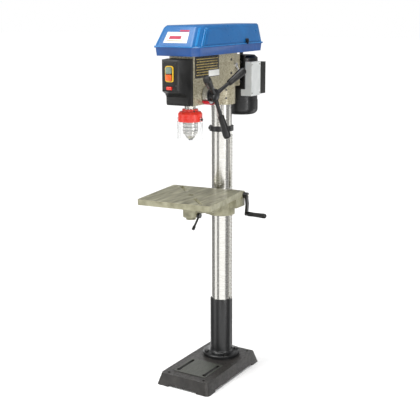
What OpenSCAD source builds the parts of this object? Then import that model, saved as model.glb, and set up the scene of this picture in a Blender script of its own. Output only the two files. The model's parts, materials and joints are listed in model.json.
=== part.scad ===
// Floor drill press. Millimetres, +Z up, front towards -Y, operator's right towards +X.
// The origin is the centre of the floor bolt holes, on the floor.

/* [Base] */
// Width of the base on the floor
base_w = 267; // [250:1:330]
// Length of the base on the floor, front to back
base_l = 458; // [440:1:560]
// Height of the base
base_h = 53; // [44:1:70]
// How far each side leans in from floor to top
base_lean = 15; // [6:1:20]
// Wall thickness of the base casting
base_wall = 10; // [7:1:14]
// Distance between floor bolt holes, side to side
anchor_x = 178; // [160:1:190]
// Distance between floor bolt holes, front to back
anchor_y = 386; // [370:1:400]
// Radius of the floor bolt holes
anchor_r = 6.5; // [5:0.5:8]
// Length of the two work slots in the base
base_slot_l = 130; // [100:1:150]
// Width of the two work slots in the base
base_slot_w = 14; // [10:1:18]
// Distance between the two work slots
base_slot_gap = 132; // [110:1:140]

/* [Column] */
// How far the column stands behind the middle of the floor bolt holes
column_y = 109; // [100:1:125]
// Outer radius of the column
column_r = 45; // [40:0.5:48]
// Wall of the column tube
column_wall = 4; // [3:0.5:8]
// Wall of the column support's sleeve
sleeve_wall = 5.5; // [4:0.5:9]
// Height of the sleeve's top above the floor
sleeve_top = 328; // [260:1:360]
// Radius of the support's flange
flange_r = 84; // [78:1:90]
// Radius of the flange's bolt circle
flange_bolts_r = 70; // [66:1:72]
// Height of the column's top above the floor
column_top = 1424; // [1418:1:1428]

/* [Table lift] */
// Height of the top of the rack
rack_top = 1094; // [1000:1:1100]
// Width of the rack
rack_w = 16; // [12:1:20]
// Radial thickness of the rack under its teeth
rack_back = 3.9; // [3:0.1:6]
// Tooth size of both racks
tooth = 2; // [2:0.25:2]
// Teeth of the lift pinion
lift_teeth = 16; // [14:1:18]
// Teeth of the worm wheel
wheel_teeth = 12; // [12:1:14]
// Tooth size of the worm wheel
wheel_tooth = 2.5; // [2.25:0.25:2.5]
// Height of the lift pinion's axis
lift_z = 785; // [778:1:788]
// Length of the crank from its axis to its grip
crank_arm_l = 84; // [70:1:100]
// Length of the crank's grip
crank_grip_l = 92; // [70:1:110]

/* [Table] */
// Side of the square table
table_w = 330; // [280:1:345]
// Thickness of the table's rim
table_rim = 24; // [18:1:30]
// Height of the table's top
table_z = 852; // [848:1:860]
// Radius of the hole in the middle of the table
table_hole_r = 13; // [8:1:16]
// How far the table is turned on its stem
table_turn = 6.5; // [0:0.5:10]
// Width of the table's slots
table_slot_w = 16; // [10:1:18]

/* [Head] */
// Distance from the column to the spindle
reach = 252; // [248:1:256]
// Half width of the head casting
head_half_w = 56; // [52:1:60]
// Height of the head's underside
head_bottom = 1232; // [1226:1:1236]
// Height of the head's top, where the belt pan sits
head_top = 1431; // [1431:1:1436]
// Radius of the quill
quill_r = 23; // [21:0.5:25]
// Teeth of the feed pinion
feed_teeth = 14; // [13:1:15]
// Height of the feed axis
feed_z = 1270; // [1266:1:1274]
// Radius from the feed axis to the tips of the handles
handle_r = 174; // [150:1:190]

/* [Chuck and guard] */
// Radius of the chuck's sleeve
chuck_r = 31; // [28:0.5:34]
// Outer radius of the chuck guard
guard_r = 56; // [50:0.5:58]
// Height of the guard's lower edge
guard_bottom = 1089; // [1080:1:1100]

/* [Drive] */
// Half width of the belt cover at its widest
cover_half_w = 105; // [98:1:112]
// Height of the cover's parting line
parting_z = 1466; // [1460:1:1472]
// Height of the cover's top
cover_top = 1548; // [1542:1:1560]
// Thickness of the cover's sheet
cover_wall = 2.5; // [2:0.5:4]
// Distance of the motor behind the column
motor_reach = 174; // [170:1:180]
// Radius of the motor's shell
motor_r = 73; // [66:1:75]
// Distance of the idler in front of the column
idler_reach = 45; // [40:1:52]

/* [Hidden] */
$fn = 64;
run = 0.05;         // radial clearance of a running fit
gap = 0.3;          // gap between faces that pass each other
mesh_play = 0.14;   // how much each tooth flank is thinned
eps = 0.01;

// base
base_top_t = base_wall + 2;
anchor_foot_r = 20;
foot_rise = 9;
foot_l = 62;
base_corner = 16;
flange_seat = 14;
panel_rise = 1.5;

// column and rack
rack_x = column_r + gap;
rack_pitch_x = rack_x + rack_back + 1.25 * tooth;
rack_bottom = sleeve_top + gap;
rack_length = rack_top - rack_bottom;
rack_pitch = PI * tooth;
rack_count = floor(rack_length / rack_pitch) - 1;
lift_r = tooth * lift_teeth / 2;
lift_x = rack_pitch_x + lift_r;
lift_phase = (lift_z - rack_bottom) / rack_pitch;
lift_shift = (lift_phase - round(lift_phase)) * rack_pitch;
wheel_r = wheel_tooth * wheel_teeth / 2;
worm_r = 10;
worm_y = 30;
worm_z = lift_z + wheel_r + worm_r;
worm_pitch = PI * wheel_tooth;
wheel_w = 7;
lift_shaft_r = 8;
lift_shaft_y0 = -rack_w / 2 - 12;

// table bracket
bracket_r = 60;
bracket_bottom = 722;
bracket_top = 822;
tilt_z = 775;
tilt_r = 34;
tilt_face = 92;
housing_x = lift_x + lift_r + 8;
boss_end_x = housing_x + 5;
crank_x = boss_end_x + gap;
crank_hub_l = 26;
stem_r = 21;
stem_bottom = 748;
clamp_top = 812;
lock_z = 768;

// head
feed_r = tooth * feed_teeth / 2;
quill_pitch_y = quill_r - 0.4 - 0.8 * tooth;
feed_y = -reach + quill_pitch_y + feed_r;
quill_bottom = 1166;
quill_top = 1392;
feed_journal_r = 17;
feed_tail_r = 9;
clamp_bottom = 1212;
side_rear = 37;
head_front = -316;
boss_x = head_half_w + 3;
ring_w = 22;
hub_x = boss_x + gap + ring_w + gap;
hub_l = 26;
lean = 18.6;
rest_arms = [33, 153, 273];
bearing_seat = 16;
bar_x = 40;
bar_r = 8;
bar_z = [1300, 1385];
slide_travel = 12;
lever_y = 12;
lever_z = 1378;

// front cover
nose_front = -400;
nose_half_w = 34;
nose_low_front = -348;
cover_back = head_front + 2;
cover_t = 3;
nose_low_z = 1284;
button_z = [1378, 1349];
button_r = 10.5;
plate_h = 64;
plate_w = 40;
plate_z = 1363;

// guard and chuck
guard_pivot_z = 1172;
collar_top = 1203;
chuck_top = 1163;
chuck_low = 1094;
jaw_lean = 12;
jaw_r = 5;
jaw_rest = 4.5;
jaw_l = 38;
jaw_travel = 20;

// drive
pan_bottom = head_top;
pulley_z = 1446;
step_h = 15;
spindle_steps = [60, 52, 44, 36];
idler_steps = [34, 42, 50, 58];
motor_steps = [58, 50, 42, 34];
front_level = 1;
rear_level = 3;
pulley_h = 4 * step_h + 3;
idler_pivot_x = -60;
idler_arm_z = 1436;
motor_y = motor_reach;
motor_bottom = 1150;
shell_bottom = 1214;
shell_top = 1394;
motor_top = 1412;
shaft_r = 8;
mount_t = 9;
mount_y = motor_y - motor_r - mount_t - 1;
capacitor_y = mount_y + mount_t + 1;
capacitor_split = 184;
cover_front = -373;
cover_rear = 243;
hinge_r = 5;
latch_y = 60;
latch_z = parting_z + 14;
taper = atan((cover_half_w - 80) / (205 + 335));

module on_column() {
  translate([0, column_y, 0]) children();
}

module at_spindle() {
  translate([0, column_y - reach, 0]) children();
}

// turns a shape drawn in X and Y so that its Y points up and its thickness runs along Y
module facing_front(thick) {
  rotate([90, 0, 0]) linear_extrude(thick, center = true) children();
}

// turns a shape drawn in X and Y so that it lies in the Y-Z plane with its thickness along X
module facing_side(thick) {
  rotate([90, 0, 90]) linear_extrude(thick, center = true) children();
}

module tube(outer, inner, height) {
  difference() {
    cylinder(r = outer, h = height);
    translate([0, 0, -1]) cylinder(r = inner, h = height + 2);
  }
}

module along_x(radius, length) {
  rotate([0, 90, 0]) cylinder(r = radius, h = length);
}

module along_y(radius, length) {
  rotate([-90, 0, 0]) cylinder(r = radius, h = length);
}

module hex(across_r, height) {
  cylinder(r = across_r, h = height, $fn = 6);
}

// a rounded four-sided slab used as one layer of a hull
module layer(w, l, corner, z, front = 0) {
  for (sx = [-1, 1], sy = [-1, 1]) {
    translate([sx * (w / 2 - corner), front + sy * (l / 2 - corner), z])
      cylinder(r = corner, h = eps, $fn = 32);
  }
}

// ---- teeth ----
function involute(a) = tan(a) - a * PI / 180;
function base_angle(r, teeth, m) = acos(min(1, m * teeth * cos(20) / 2 / r));
function flank(r, teeth, m) = 90 / teeth
  + (involute(20) - involute(base_angle(r, teeth, m)) - mesh_play / r) * 180 / PI;
function polar(r, a) = [r * cos(a), r * sin(a)];
function gear_points(teeth, m) = [
  for (i = [0:teeth - 1])
    let (c = i * 360 / teeth)
    let (root = m * (teeth / 2 - 1.2))
    let (mid = m * teeth / 2)
    let (tip = m * (teeth / 2 + 0.9))
    each [
      polar(root, c - flank(root, teeth, m)), polar(mid, c - flank(mid, teeth, m)),
      polar(tip, c - flank(tip, teeth, m)), polar(tip, c + flank(tip, teeth, m)),
      polar(mid, c + flank(mid, teeth, m)), polar(root, c + flank(root, teeth, m))
    ]
];
// teeth of a rack along Y, with x = 0 on the pitch line; tooth i is centred at (i + 1/2) pitches
function rack_tooth_points(count, m) = [
  for (i = [0:count - 1])
    let (c = (i + 0.5) * PI * m)
    let (h = PI * m / 4 - mesh_play)
    let (low = 1.25 * m)
    let (high = 0.8 * m)
    each [
      [-low, c - h - low * tan(20)], [high, c - h + high * tan(20)],
      [high, c + h - high * tan(20)], [-low, c + h + low * tan(20)]
    ]
];

// ---- base and column ----
module base_slot() {
  hull() {
    for (s = [-1, 1]) {
      translate([0, s * (base_slot_l - base_slot_w) / 2, 0])
        cylinder(d = base_slot_w, h = base_h * 2, $fn = 32);
    }
  }
  translate([0, -(base_slot_l - base_slot_w) / 2, 0]) cylinder(d = base_slot_w * 1.6, h = base_h * 2);
}

module base_casting() color([0.16, 0.16, 0.16]) {
  slot_y = column_y - 197;
  difference() {
    union() {
      difference() {
        hull() {
          layer(base_w, base_l, base_corner, 0);
          layer(base_w - 2 * base_lean, base_l - 2 * base_lean, base_corner, base_h - eps);
        }
        hull() {
          layer(base_w - 2 * base_wall, base_l - 2 * base_wall, base_corner / 2, -1);
          layer(base_w - 2 * (base_lean + base_wall), base_l - 2 * (base_lean + base_wall),
            base_corner / 2, base_h - base_top_t);
        }
        for (w = [[base_w - 2 * foot_l, base_l + 2], [base_w + 2, base_l - 2 * foot_l]]) {
          translate([-w[0] / 2, -w[1] / 2, -1]) cube([w[0], w[1], foot_rise + 1]);
        }
      }
      for (sx = [-1, 1], sy = [-1, 1]) {
        translate([sx * anchor_x / 2, sy * anchor_y / 2, 0])
          cylinder(r = anchor_foot_r, h = base_h - base_top_t + 1);
      }
      translate([-base_slot_gap / 2 - 15, slot_y - base_slot_l / 2 - 15, base_h - 1])
        cube([base_slot_gap + 30, base_slot_l + 26, 1 + panel_rise]);
      on_column() translate([0, 0, base_h - 1]) cylinder(r = flange_r + 4, h = 1 + panel_rise);
    }
    for (sx = [-1, 1], sy = [-1, 1]) {
      translate([sx * anchor_x / 2, sy * anchor_y / 2, -1]) cylinder(r = anchor_r, h = base_h + 3);
    }
    for (sx = [-1, 1]) {
      translate([sx * base_slot_gap / 2, slot_y, 10]) base_slot();
    }
    on_column() for (a = [45:90:315]) {
      rotate(a) translate([flange_bolts_r, 0, 0]) cylinder(r = 6 + run, h = base_h + 5);
    }
  }
}

module column_support() color([0.1, 0.11, 0.12]) on_column() {
  z0 = base_h + panel_rise;
  sleeve_r = column_r + sleeve_wall;
  fillet = 12;
  difference() {
    rotate_extrude() polygon(concat(
      [[column_r + run, z0], [flange_r, z0], [flange_r, z0 + 12], [flange_r - 3, z0 + 15]],
      [for (a = [0:15:90]) [sleeve_r + fillet * (1 - sin(a)), z0 + 17 + fillet * (1 - cos(a))]],
      [[sleeve_r, sleeve_top - 2], [sleeve_r - 1.5, sleeve_top], [column_r + run, sleeve_top]]));
    for (a = [45:90:315]) {
      rotate(a) translate([flange_bolts_r, 0, z0 - 1]) cylinder(r = 6 + run, h = 30);
      rotate(a) translate([flange_bolts_r, 0, z0 + flange_seat]) cylinder(r = 11.5, h = 30);
    }
    translate([0, 0, sleeve_top - 30]) along_y(4 + run, sleeve_r + 5);
  }
}

module support_bolts() color([0.25, 0.25, 0.26]) on_column() {
  z0 = base_h + panel_rise + flange_seat;
  for (a = [45:90:315]) {
    rotate(a) translate([flange_bolts_r, 0, 0]) {
      translate([0, 0, base_h - base_top_t - 6]) cylinder(r = 6, h = z0 - base_h + base_top_t + 7);
      translate([0, 0, z0]) hex(10, 8);
    }
  }
}

module column() color([0.75, 0.75, 0.74]) on_column() {
  translate([0, 0, base_h + panel_rise]) tube(column_r, column_r - column_wall,
    column_top - base_h - panel_rise);
}

module rack() color([0.6, 0.6, 0.58]) on_column() {
  teeth = [for (p = rack_tooth_points(rack_count, tooth)) [rack_pitch_x + p[0], rack_bottom + p[1]]];
  top_edge = rack_pitch_x - 1.25 * tooth;
  facing_front(rack_w)
    polygon(concat([[rack_x, rack_bottom], [top_edge, rack_bottom]], teeth,
      [[top_edge, rack_top], [rack_x, rack_top]]));
}

module rack_collar() color([0.1, 0.1, 0.1]) on_column() {
  difference() {
    union() {
      translate([0, 0, rack_top + gap]) cylinder(r = column_r + 8, h = 22);
      rotate(210) translate([column_r + 2, 0, rack_top + gap + 11]) along_x(7, 9);
    }
    translate([0, 0, rack_top - 5]) cylinder(r = column_r + run, h = 40);
    rotate(210) translate([column_r - 3, 0, rack_top + gap + 11]) along_x(3.5 + run, 20);
  }
}

module set_screws() color([0.2, 0.2, 0.2]) on_column() {
  rotate(210) translate([column_r + gap, 0, rack_top + gap + 11]) along_x(3.5, 12);
  translate([0, column_r + gap, sleeve_top - 30]) along_y(4, sleeve_wall + 3);
  for (z = [1240, 1275]) {
    rotate(-40) translate([column_r + gap, 0, z]) along_x(4, 18);
  }
}

// ---- table lift ----
module lift_pinion() color([0.55, 0.55, 0.55]) on_column() translate([lift_x, 0, lift_z]) {
  turn = lift_shift / lift_r * 180 / PI;
  facing_front(rack_w) rotate(turn) polygon(gear_points(lift_teeth, tooth));
  translate([0, worm_y, 0]) facing_front(wheel_w)
    rotate(90) polygon(gear_points(wheel_teeth, wheel_tooth));
  translate([0, lift_shaft_y0, 0]) along_y(lift_shaft_r, worm_y + wheel_w / 2 + 10 - lift_shaft_y0);
}

module worm_shaft() color([0.5, 0.5, 0.5]) on_column() translate([0, worm_y, worm_z]) {
  turns = 4;
  length = turns * worm_pitch;
  thread = 1.5;
  translate([lift_x - length / 2, 0, 0]) rotate([0, 90, 0])
    linear_extrude(length, twist = -360 * turns, slices = 12 * turns)
      rotate(180) translate([thread, 0]) circle(r = worm_r - 1.2, $fn = 16);
  translate([lift_x - length / 2 - 10, 0, 0]) along_x(6, 10.5);
  translate([lift_x + length / 2 - 0.5, 0, 0])
    along_x(6, crank_x + crank_hub_l + 1 - lift_x - length / 2);
}

module table_bracket() color([0.42, 0.42, 0.34]) on_column() {
  difference() {
    union() {
      translate([0, 0, bracket_bottom]) cylinder(r = bracket_r, h = bracket_top - bracket_bottom);
      translate([30, lift_shaft_y0 - 6, lift_z - 26])
        cube([housing_x - 30, worm_y + 24 - lift_shaft_y0, worm_z + 15 - lift_z + 26]);
      translate([housing_x - 1, worm_y, worm_z]) along_x(16, boss_end_x - housing_x + 1);
      translate([0, -tilt_face, tilt_z]) along_y(tilt_r, tilt_face - 20);
      translate([-bracket_r - 26, -17, bracket_bottom + 14]) cube([40, 34, 72]);
    }
    translate([0, 0, bracket_bottom - 5]) cylinder(r = column_r + run, h = 150);
    translate([column_r - 5, -rack_w / 2 - gap, bracket_bottom - 5])
      cube([rack_back + 14, rack_w + 2 * gap, 150]);
    translate([lift_x, 0, lift_z]) {
      translate([0, -rack_w / 2 - 1, 0]) along_y(lift_r + 3, rack_w + 2);
      translate([0, lift_shaft_y0 - 1, 0]) along_y(lift_shaft_r + run, 100);
      translate([0, worm_y - wheel_w / 2 - 1, 0]) along_y(wheel_r + 4, wheel_w + 2);
    }
    translate([lift_x - 2 * worm_pitch - 12, worm_y, worm_z]) along_x(6 + run, 200);
    translate([lift_x - 2 * worm_pitch - 1, worm_y, worm_z]) along_x(worm_r + 2.5, 4 * worm_pitch + 2);
    translate([lift_x - wheel_r, worm_y - wheel_w / 2 - 1, lift_z])
      cube([2 * wheel_r, wheel_w + 2, wheel_r + 4]);
    translate([-bracket_r - 30, -2, bracket_bottom - 5]) cube([40, 4, 150]);
    translate([-bracket_r - 14, -30, bracket_bottom + 50]) along_y(6 + run, 60);
    translate([0, -tilt_face - 1, tilt_z]) along_y(8 + run, 46);
  }
}

module bracket_lock() color([0.12, 0.12, 0.12]) on_column()
  translate([-bracket_r - 14, 0, bracket_bottom + 50]) {
  translate([0, -24, 0]) along_y(6, 58);
  translate([0, 17 + gap, 0]) along_y(11, 14);
  translate([0, 27, 0]) rotate([0, -118, 0]) cylinder(r = 5, h = 62);
  translate([0, 27, 0]) rotate([0, -118, 0]) translate([0, 0, 58]) cylinder(r = 8, h = 20);
}

module crank_arm() color([0.08, 0.08, 0.09]) on_column() translate([crank_x, worm_y, worm_z]) {
  mid = 14;
  difference() {
    union() {
      along_x(13, crank_hub_l - 6);
      for (s = [[[0, 0], [mid, -crank_arm_l / 2]], [[mid, -crank_arm_l / 2], [4, -crank_arm_l]]]) {
        hull() {
          for (p = s) {
            translate([8, p[0] * 0.6, p[1]]) along_x(8, 10, $fn = 32);
          }
        }
      }
      translate([8, 2.4, -crank_arm_l]) along_x(9, 11);
    }
    translate([-1, 0, 0]) along_x(6 + run, crank_hub_l + 2);
  }
  translate([8, 2.4, -crank_arm_l]) along_x(4.5, crank_grip_l + 6);
}

module crank_grip() color([0.1, 0.1, 0.1]) on_column()
  translate([crank_x + 19 + gap, worm_y + 2.4, worm_z - crank_arm_l]) {
  rotate([0, 90, 0]) rotate_extrude() polygon([
    [4.5 + run, 0], [9, 0], [10.5, 4], [9.4, 30], [10.2, 60], [11, crank_grip_l - 14],
    [10, crank_grip_l - 5], [6, crank_grip_l - 1], [4.5 + run, crank_grip_l - 1]]);
}

// ---- table ----
module tilt_bolt() color([0.4, 0.4, 0.4]) on_column() translate([0, 0, tilt_z]) {
  translate([0, -tilt_face - 34, 0]) along_y(8, 78);
  translate([0, -tilt_face - 34 - 10, 0]) rotate([-90, 0, 0]) hex(14, 10);
}

module table_arm() color([0.4, 0.4, 0.32]) on_column() {
  near = -tilt_face - gap;
  difference() {
    union() {
      translate([0, near - 24, tilt_z]) along_y(tilt_r, 24);
      for (s = [-1, 1]) {
        hull() {
          translate([s * 24, near - 12, tilt_z - 6]) cube([10, 22, 26], center = true);
          translate([s * 24, -reach + 8, clamp_top - 22]) cube([10, 20, 36], center = true);
        }
      }
      translate([0, -reach, stem_bottom + 12]) cylinder(r = stem_r + 13, h = clamp_top - stem_bottom - 12);
    }
    translate([0, near - 40, tilt_z]) along_y(8 + run, 60);
    translate([0, near - 24 - 30, tilt_z]) along_y(17, 30);
    translate([0, -reach, stem_bottom]) cylinder(r = stem_r + run, h = 100);
    translate([0, -reach, lock_z]) along_x(6 + run, 80);
  }
}

module table_lock() color([0.08, 0.08, 0.08]) on_column() translate([0, -reach, lock_z]) {
  translate([stem_r + gap, 0, 0]) along_x(6, 20);
  translate([stem_r + 14, 0, 0]) along_x(11, 12);
  translate([stem_r + 20, 0, 0]) rotate([-45, 0, 0]) translate([0, 0, -60]) cylinder(r = 4.5, h = 56);
  translate([stem_r + 20, 0, 0]) rotate([-45, 0, 0]) translate([0, 0, -70]) cylinder(r = 6.5, h = 16);
}

module table() color([0.5, 0.5, 0.42]) on_column()
  translate([0, -reach, 0]) rotate(table_turn) {
  plate = 12;
  slot_near = 72;
  slot_far = 196;
  difference() {
    union() {
      difference() {
        translate([0, 0, table_z - table_rim]) hull() {
          layer(table_w, table_w, 8, 0);
          layer(table_w, table_w, 8, table_rim - eps);
        }
        translate([-table_w / 2 + 12, -table_w / 2 + 12, table_z - table_rim - 1])
          cube([table_w - 24, table_w - 24, table_rim - plate + 1]);
      }
      translate([0, 0, clamp_top + gap]) cylinder(r = 46, h = table_z - plate - clamp_top + 1);
      translate([0, 0, stem_bottom]) cylinder(r = stem_r, h = table_z - plate - stem_bottom);
      for (a = [0:90:270]) {
        rotate(a) translate([40, -4, table_z - table_rim + 2]) cube([115, 8, table_rim - plate]);
      }
    }
    translate([0, 0, stem_bottom - 1]) cylinder(r = table_hole_r, h = 200);
    for (s = [0, 180]) {
      rotate(s - 45 - table_turn)
        translate([slot_near, -table_slot_w / 2, table_z - table_rim - 1])
        cube([slot_far - slot_near, table_slot_w, table_rim + 2]);
    }
  }
}

// ---- head ----
module head_casting() color([0.5, 0.5, 0.42]) on_column() {
  side = [[head_front, head_bottom], [-205, head_bottom], [-196, head_bottom + 5],
    [-184, head_bottom + 34], [-172, head_bottom + 42], [-6, head_bottom + 54],
    [20, head_bottom + 62], [side_rear, head_bottom + 82], [side_rear, head_top],
    [head_front, head_top]];
  difference() {
    union() {
      facing_side(2 * head_half_w) polygon(side);
      translate([0, 0, clamp_bottom]) cylinder(r = bracket_r, h = head_top - clamp_bottom);
      translate([-50, 0, bar_z[0] - 14]) cube([100, 72, head_top - bar_z[0] + 4]);
      translate([0, feed_y, feed_z]) along_x(30, boss_x);
      translate([-boss_x, feed_y, feed_z]) along_x(30, boss_x);
    }
    translate([0, -reach, head_bottom - 1]) cylinder(r = quill_r + run, h = 400);
    translate([0, -reach, head_top - bearing_seat - 16]) cylinder(r = 31 + run, h = 60);
    translate([0, 0, clamp_bottom - 1]) cylinder(r = column_r + run, h = column_top - clamp_bottom + 1);
    translate([0, feed_y, feed_z]) {
      along_x(feed_journal_r + run, 100);
      translate([-14, 0, 0]) along_x(feed_journal_r + run, 20);
      translate([-100, 0, 0]) along_x(feed_tail_r + run, 100);
    }
    translate([-44, feed_y + 26, head_bottom + 62]) cube([88, -62 - feed_y - 26, 200]);
    for (s = [-1, 1], z = bar_z) {
      translate([s * bar_x, 33, z]) along_y(bar_r + run, 60);
    }
    for (z = [1240, 1275]) {
      rotate(-40) translate([column_r - 5, 0, z]) along_x(4 + run, 40);
    }
    translate([idler_pivot_x + 12, -idler_reach, head_top - 20]) cylinder(r = 6 + run, h = 40);
    translate([30, -292, head_bottom - 1]) cylinder(r = 13, h = 34);
    translate([bracket_r - 10.5, lever_y, lever_z]) along_x(6 + run, 20);
  }
}

module work_lamp() color([0.9, 0.9, 0.85]) on_column() translate([30, -292, 0]) {
  translate([0, 0, head_bottom + 6]) cylinder(r = 12.5, h = 26.5);
  translate([0, 0, head_bottom - 3]) sphere(r = 10.5);
}

module spring_cap() color([0.55, 0.55, 0.53]) on_column() translate([-boss_x - 26, feed_y, feed_z]) {
  difference() {
    along_x(30, 26);
    translate([3, 0, 0]) along_x(26, 30);
    translate([-1, 0, 0]) along_x(feed_tail_r + 0.5, 10);
  }
}

module return_spring() color([0.35, 0.35, 0.38]) on_column() translate([-boss_x - 11, feed_y, feed_z]) {
  turns = 4;
  inner = [for (i = [0:turns * 20]) polar(10 + 15.2 * i / (turns * 20), i * 18)];
  outer = [for (i = [turns * 20:-1:0]) polar(10.7 + 15.2 * i / (turns * 20), i * 18)];
  facing_side(14) polygon(concat(inner, outer));
}

module nose_plan(grow) {
  b = cover_back;
  polygon([[-nose_half_w + grow, nose_front + grow], [nose_half_w - grow, nose_front + grow],
    [nose_half_w + 6 - grow, nose_front + 7 + grow], [head_half_w - grow, head_front - 16],
    [head_half_w - grow, b + grow], [-head_half_w + grow, b + grow],
    [-head_half_w + grow, head_front - 16], [-nose_half_w - 6 + grow, nose_front + 7 + grow]]);
}

module nose_side(grow) {
  top = head_top - 12 - grow;
  low = head_bottom + 2 + grow;
  polygon([[cover_back + 5, top], [nose_front + 5 + grow, top], [nose_front + grow, top - 6],
    [nose_front + grow, nose_low_z + 20], [nose_front + 6 + grow, nose_low_z + 10],
    [nose_low_front - 14 + grow, nose_low_z - 2], [nose_low_front + grow, nose_low_z - 16],
    [nose_low_front + grow, low + 8], [nose_low_front + 8 + grow, low], [cover_back + 5, low]]);
}

module nose_solid(grow) {
  intersection() {
    translate([0, 0, head_bottom - 5]) linear_extrude(head_top - head_bottom + 5) nose_plan(grow);
    facing_side(3 * head_half_w) nose_side(grow);
  }
}

module front_cover() color([0.07, 0.07, 0.07]) on_column() {
  difference() {
    nose_solid(0);
    difference() {
      nose_solid(cover_t);
      translate([-100, head_front - 3, head_bottom]) cube([200, 20, 300]);
    }
    translate([-head_half_w - 5, head_front - gap, head_bottom - 5]) cube([200, 20, 300]);
    for (z = button_z) {
      translate([0, nose_front - 5, z]) along_y(button_r + gap, 20);
    }
    translate([-11, nose_front - 5, 1301]) cube([22, 20, 14]);
  }
}

module switch_plate() color([0.9, 0.8, 0.1]) on_column() translate([0, nose_front, plate_z]) {
  difference() {
    translate([-plate_w / 2, -3, -plate_h / 2]) cube([plate_w, 3, plate_h]);
    for (z = button_z) {
      translate([0, -5, z - plate_z]) along_y(button_r + gap, 20);
    }
  }
}

module push_button(z) {
  on_column() translate([0, nose_front, z]) {
    translate([0, -9, 0]) along_y(button_r, 14);
    translate([0, 4, 0]) along_y(4, 12);
  }
}

module start_button() color([0.35, 0.45, 0.38]) push_button(button_z[0]);

module stop_button() color([0.85, 0.25, 0.1]) push_button(button_z[1]);

module lamp_rocker() color([0.75, 0.12, 0.05]) on_column() translate([-10.5, nose_front + 1, 1308]) {
  difference() {
    along_x(9, 21);
    translate([-1, -20, -20]) cube([30, 11, 40]);
    translate([-1, 1, -20]) cube([30, 40, 40]);
    translate([-1, -20, 6.2]) cube([30, 40, 40]);
    translate([-1, -20, -46.2]) cube([30, 40, 40]);
  }
}

// ---- quill and chuck ----
module quill() color([0.7, 0.7, 0.7]) at_spindle() {
  grooves = 17;
  p = PI * tooth;
  difference() {
    translate([0, 0, quill_bottom]) tube(quill_r, 13, quill_top - quill_bottom);
    for (z = [quill_bottom - 1, quill_top - 13]) {
      translate([0, 0, z]) cylinder(r = 17, h = 14);
    }
    difference() {
      translate([-20, quill_pitch_y - 1.25 * tooth, feed_z - 2.5 * p]) cube([40, 12, grooves * p]);
      translate([0, 0, feed_z - 2 * p]) facing_side(60)
        polygon(concat([[0, -p]],
          [for (q = rack_tooth_points(grooves - 2, tooth)) [quill_pitch_y + q[0], q[1]]],
          [[0, grooves * p]]));
    }
  }
}

module quill_bearings() color([0.6, 0.6, 0.62]) at_spindle() {
  for (z = [quill_bottom, quill_top - 12]) {
    translate([0, 0, z]) tube(17 - run, 10, 12);
  }
}

module spindle() color([0.72, 0.72, 0.73]) at_spindle() {
  translate([0, 0, quill_bottom - 3]) cylinder(r = 12, h = 3);
  translate([0, 0, quill_bottom - 3]) cylinder(r = 10 - run, h = quill_top - quill_bottom + 3);
  translate([0, 0, quill_top - 1]) cylinder(r = 8, h = 119);
  for (a = [0:60:300]) {
    rotate(a) translate([7, -1.5, quill_top + 4]) cube([2.9, 3, 112]);
  }
  translate([0, 0, chuck_top - 30]) cylinder(r1 = 7, r2 = 8, h = 31);
}

module chuck_body() color([0.6, 0.6, 0.6]) at_spindle() {
  difference() {
    union() {
      translate([0, 0, chuck_low + 10]) cylinder(r = 24, h = chuck_top - chuck_low - 12);
      translate([0, 0, chuck_low - 2]) cylinder(r1 = 16, r2 = 24, h = 13);
    }
    translate([0, 0, chuck_top - 30]) cylinder(r1 = 7 + run, r2 = 8 + run, h = 31);
    translate([0, 0, chuck_low - 5]) cylinder(r = 7, h = 34);
    for (a = [0, 120, 240]) {
      rotate(a + 30) jaw_bore();
    }
  }
}

module jaw_bore() {
  translate([jaw_rest, 0, chuck_low - 10]) rotate([0, jaw_lean, 0])
    translate([0, 0, -10]) cylinder(r = jaw_r + run, h = jaw_l + jaw_travel + 11);
}

module chuck_jaw(a) {
  at_spindle() rotate(a + 30) intersection() {
    translate([jaw_rest, 0, chuck_low - 10]) rotate([0, jaw_lean, 0]) cylinder(r = jaw_r, h = jaw_l);
    translate([0, 0, chuck_low - 9]) linear_extrude(80)
      polygon([[1.6, -1.8], [40, -66], [40, 66], [1.6, 1.8]]);
  }
}

module chuck_jaw_1() color([0.5, 0.5, 0.5]) chuck_jaw(0);

module chuck_jaw_2() color([0.5, 0.5, 0.5]) chuck_jaw(120);

module chuck_jaw_3() color([0.5, 0.5, 0.5]) chuck_jaw(240);

module chuck_sleeve() color([0.66, 0.66, 0.67]) at_spindle() {
  difference() {
    union() {
      translate([0, 0, chuck_low + 26]) cylinder(r = chuck_r, h = 40);
      translate([0, 0, chuck_low + 18]) linear_extrude(8.5) polygon(gear_points(24, 2.4));
    }
    translate([0, 0, chuck_low]) cylinder(r = 24 + run, h = 100);
  }
}

module guard_collar() color([0.85, 0.08, 0.08]) at_spindle() {
  low = 1162;
  difference() {
    union() {
      translate([0, 0, low]) cylinder(r = guard_r - 6, h = collar_top - low - 9);
      translate([0, 0, collar_top - 9]) cylinder(r1 = guard_r - 6, r2 = guard_r - 13, h = 9);
      translate([0, 0, collar_top - 4]) cylinder(r = quill_r + 10, h = 14);
    }
    translate([0, 0, low - 1]) cylinder(r = guard_r - 9, h = collar_top - low - 9);
    translate([0, 0, low - 1]) cylinder(r = quill_r + run, h = 90);
    for (s = [-1, 1]) {
      translate([s * (guard_r - 8) - 8, 0, guard_pivot_z]) along_x(2.5 + run, 16);
    }
    rotate(-30) translate([quill_r - 5, 0, collar_top + 4]) along_x(2.5 + run, 30);
  }
}

module guard_screws() color([0.3, 0.3, 0.3]) at_spindle() {
  for (s = [-1, 1]) {
    translate([s * (guard_r - 3) - 5, 0, guard_pivot_z]) along_x(2.5, 10);
    translate([s * (guard_r + 1.7) - 1.5, 0, guard_pivot_z]) along_x(5, 3);
  }
  rotate(-30) translate([quill_r + gap, 0, collar_top + 4]) along_x(2.5, 14);
}

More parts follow.
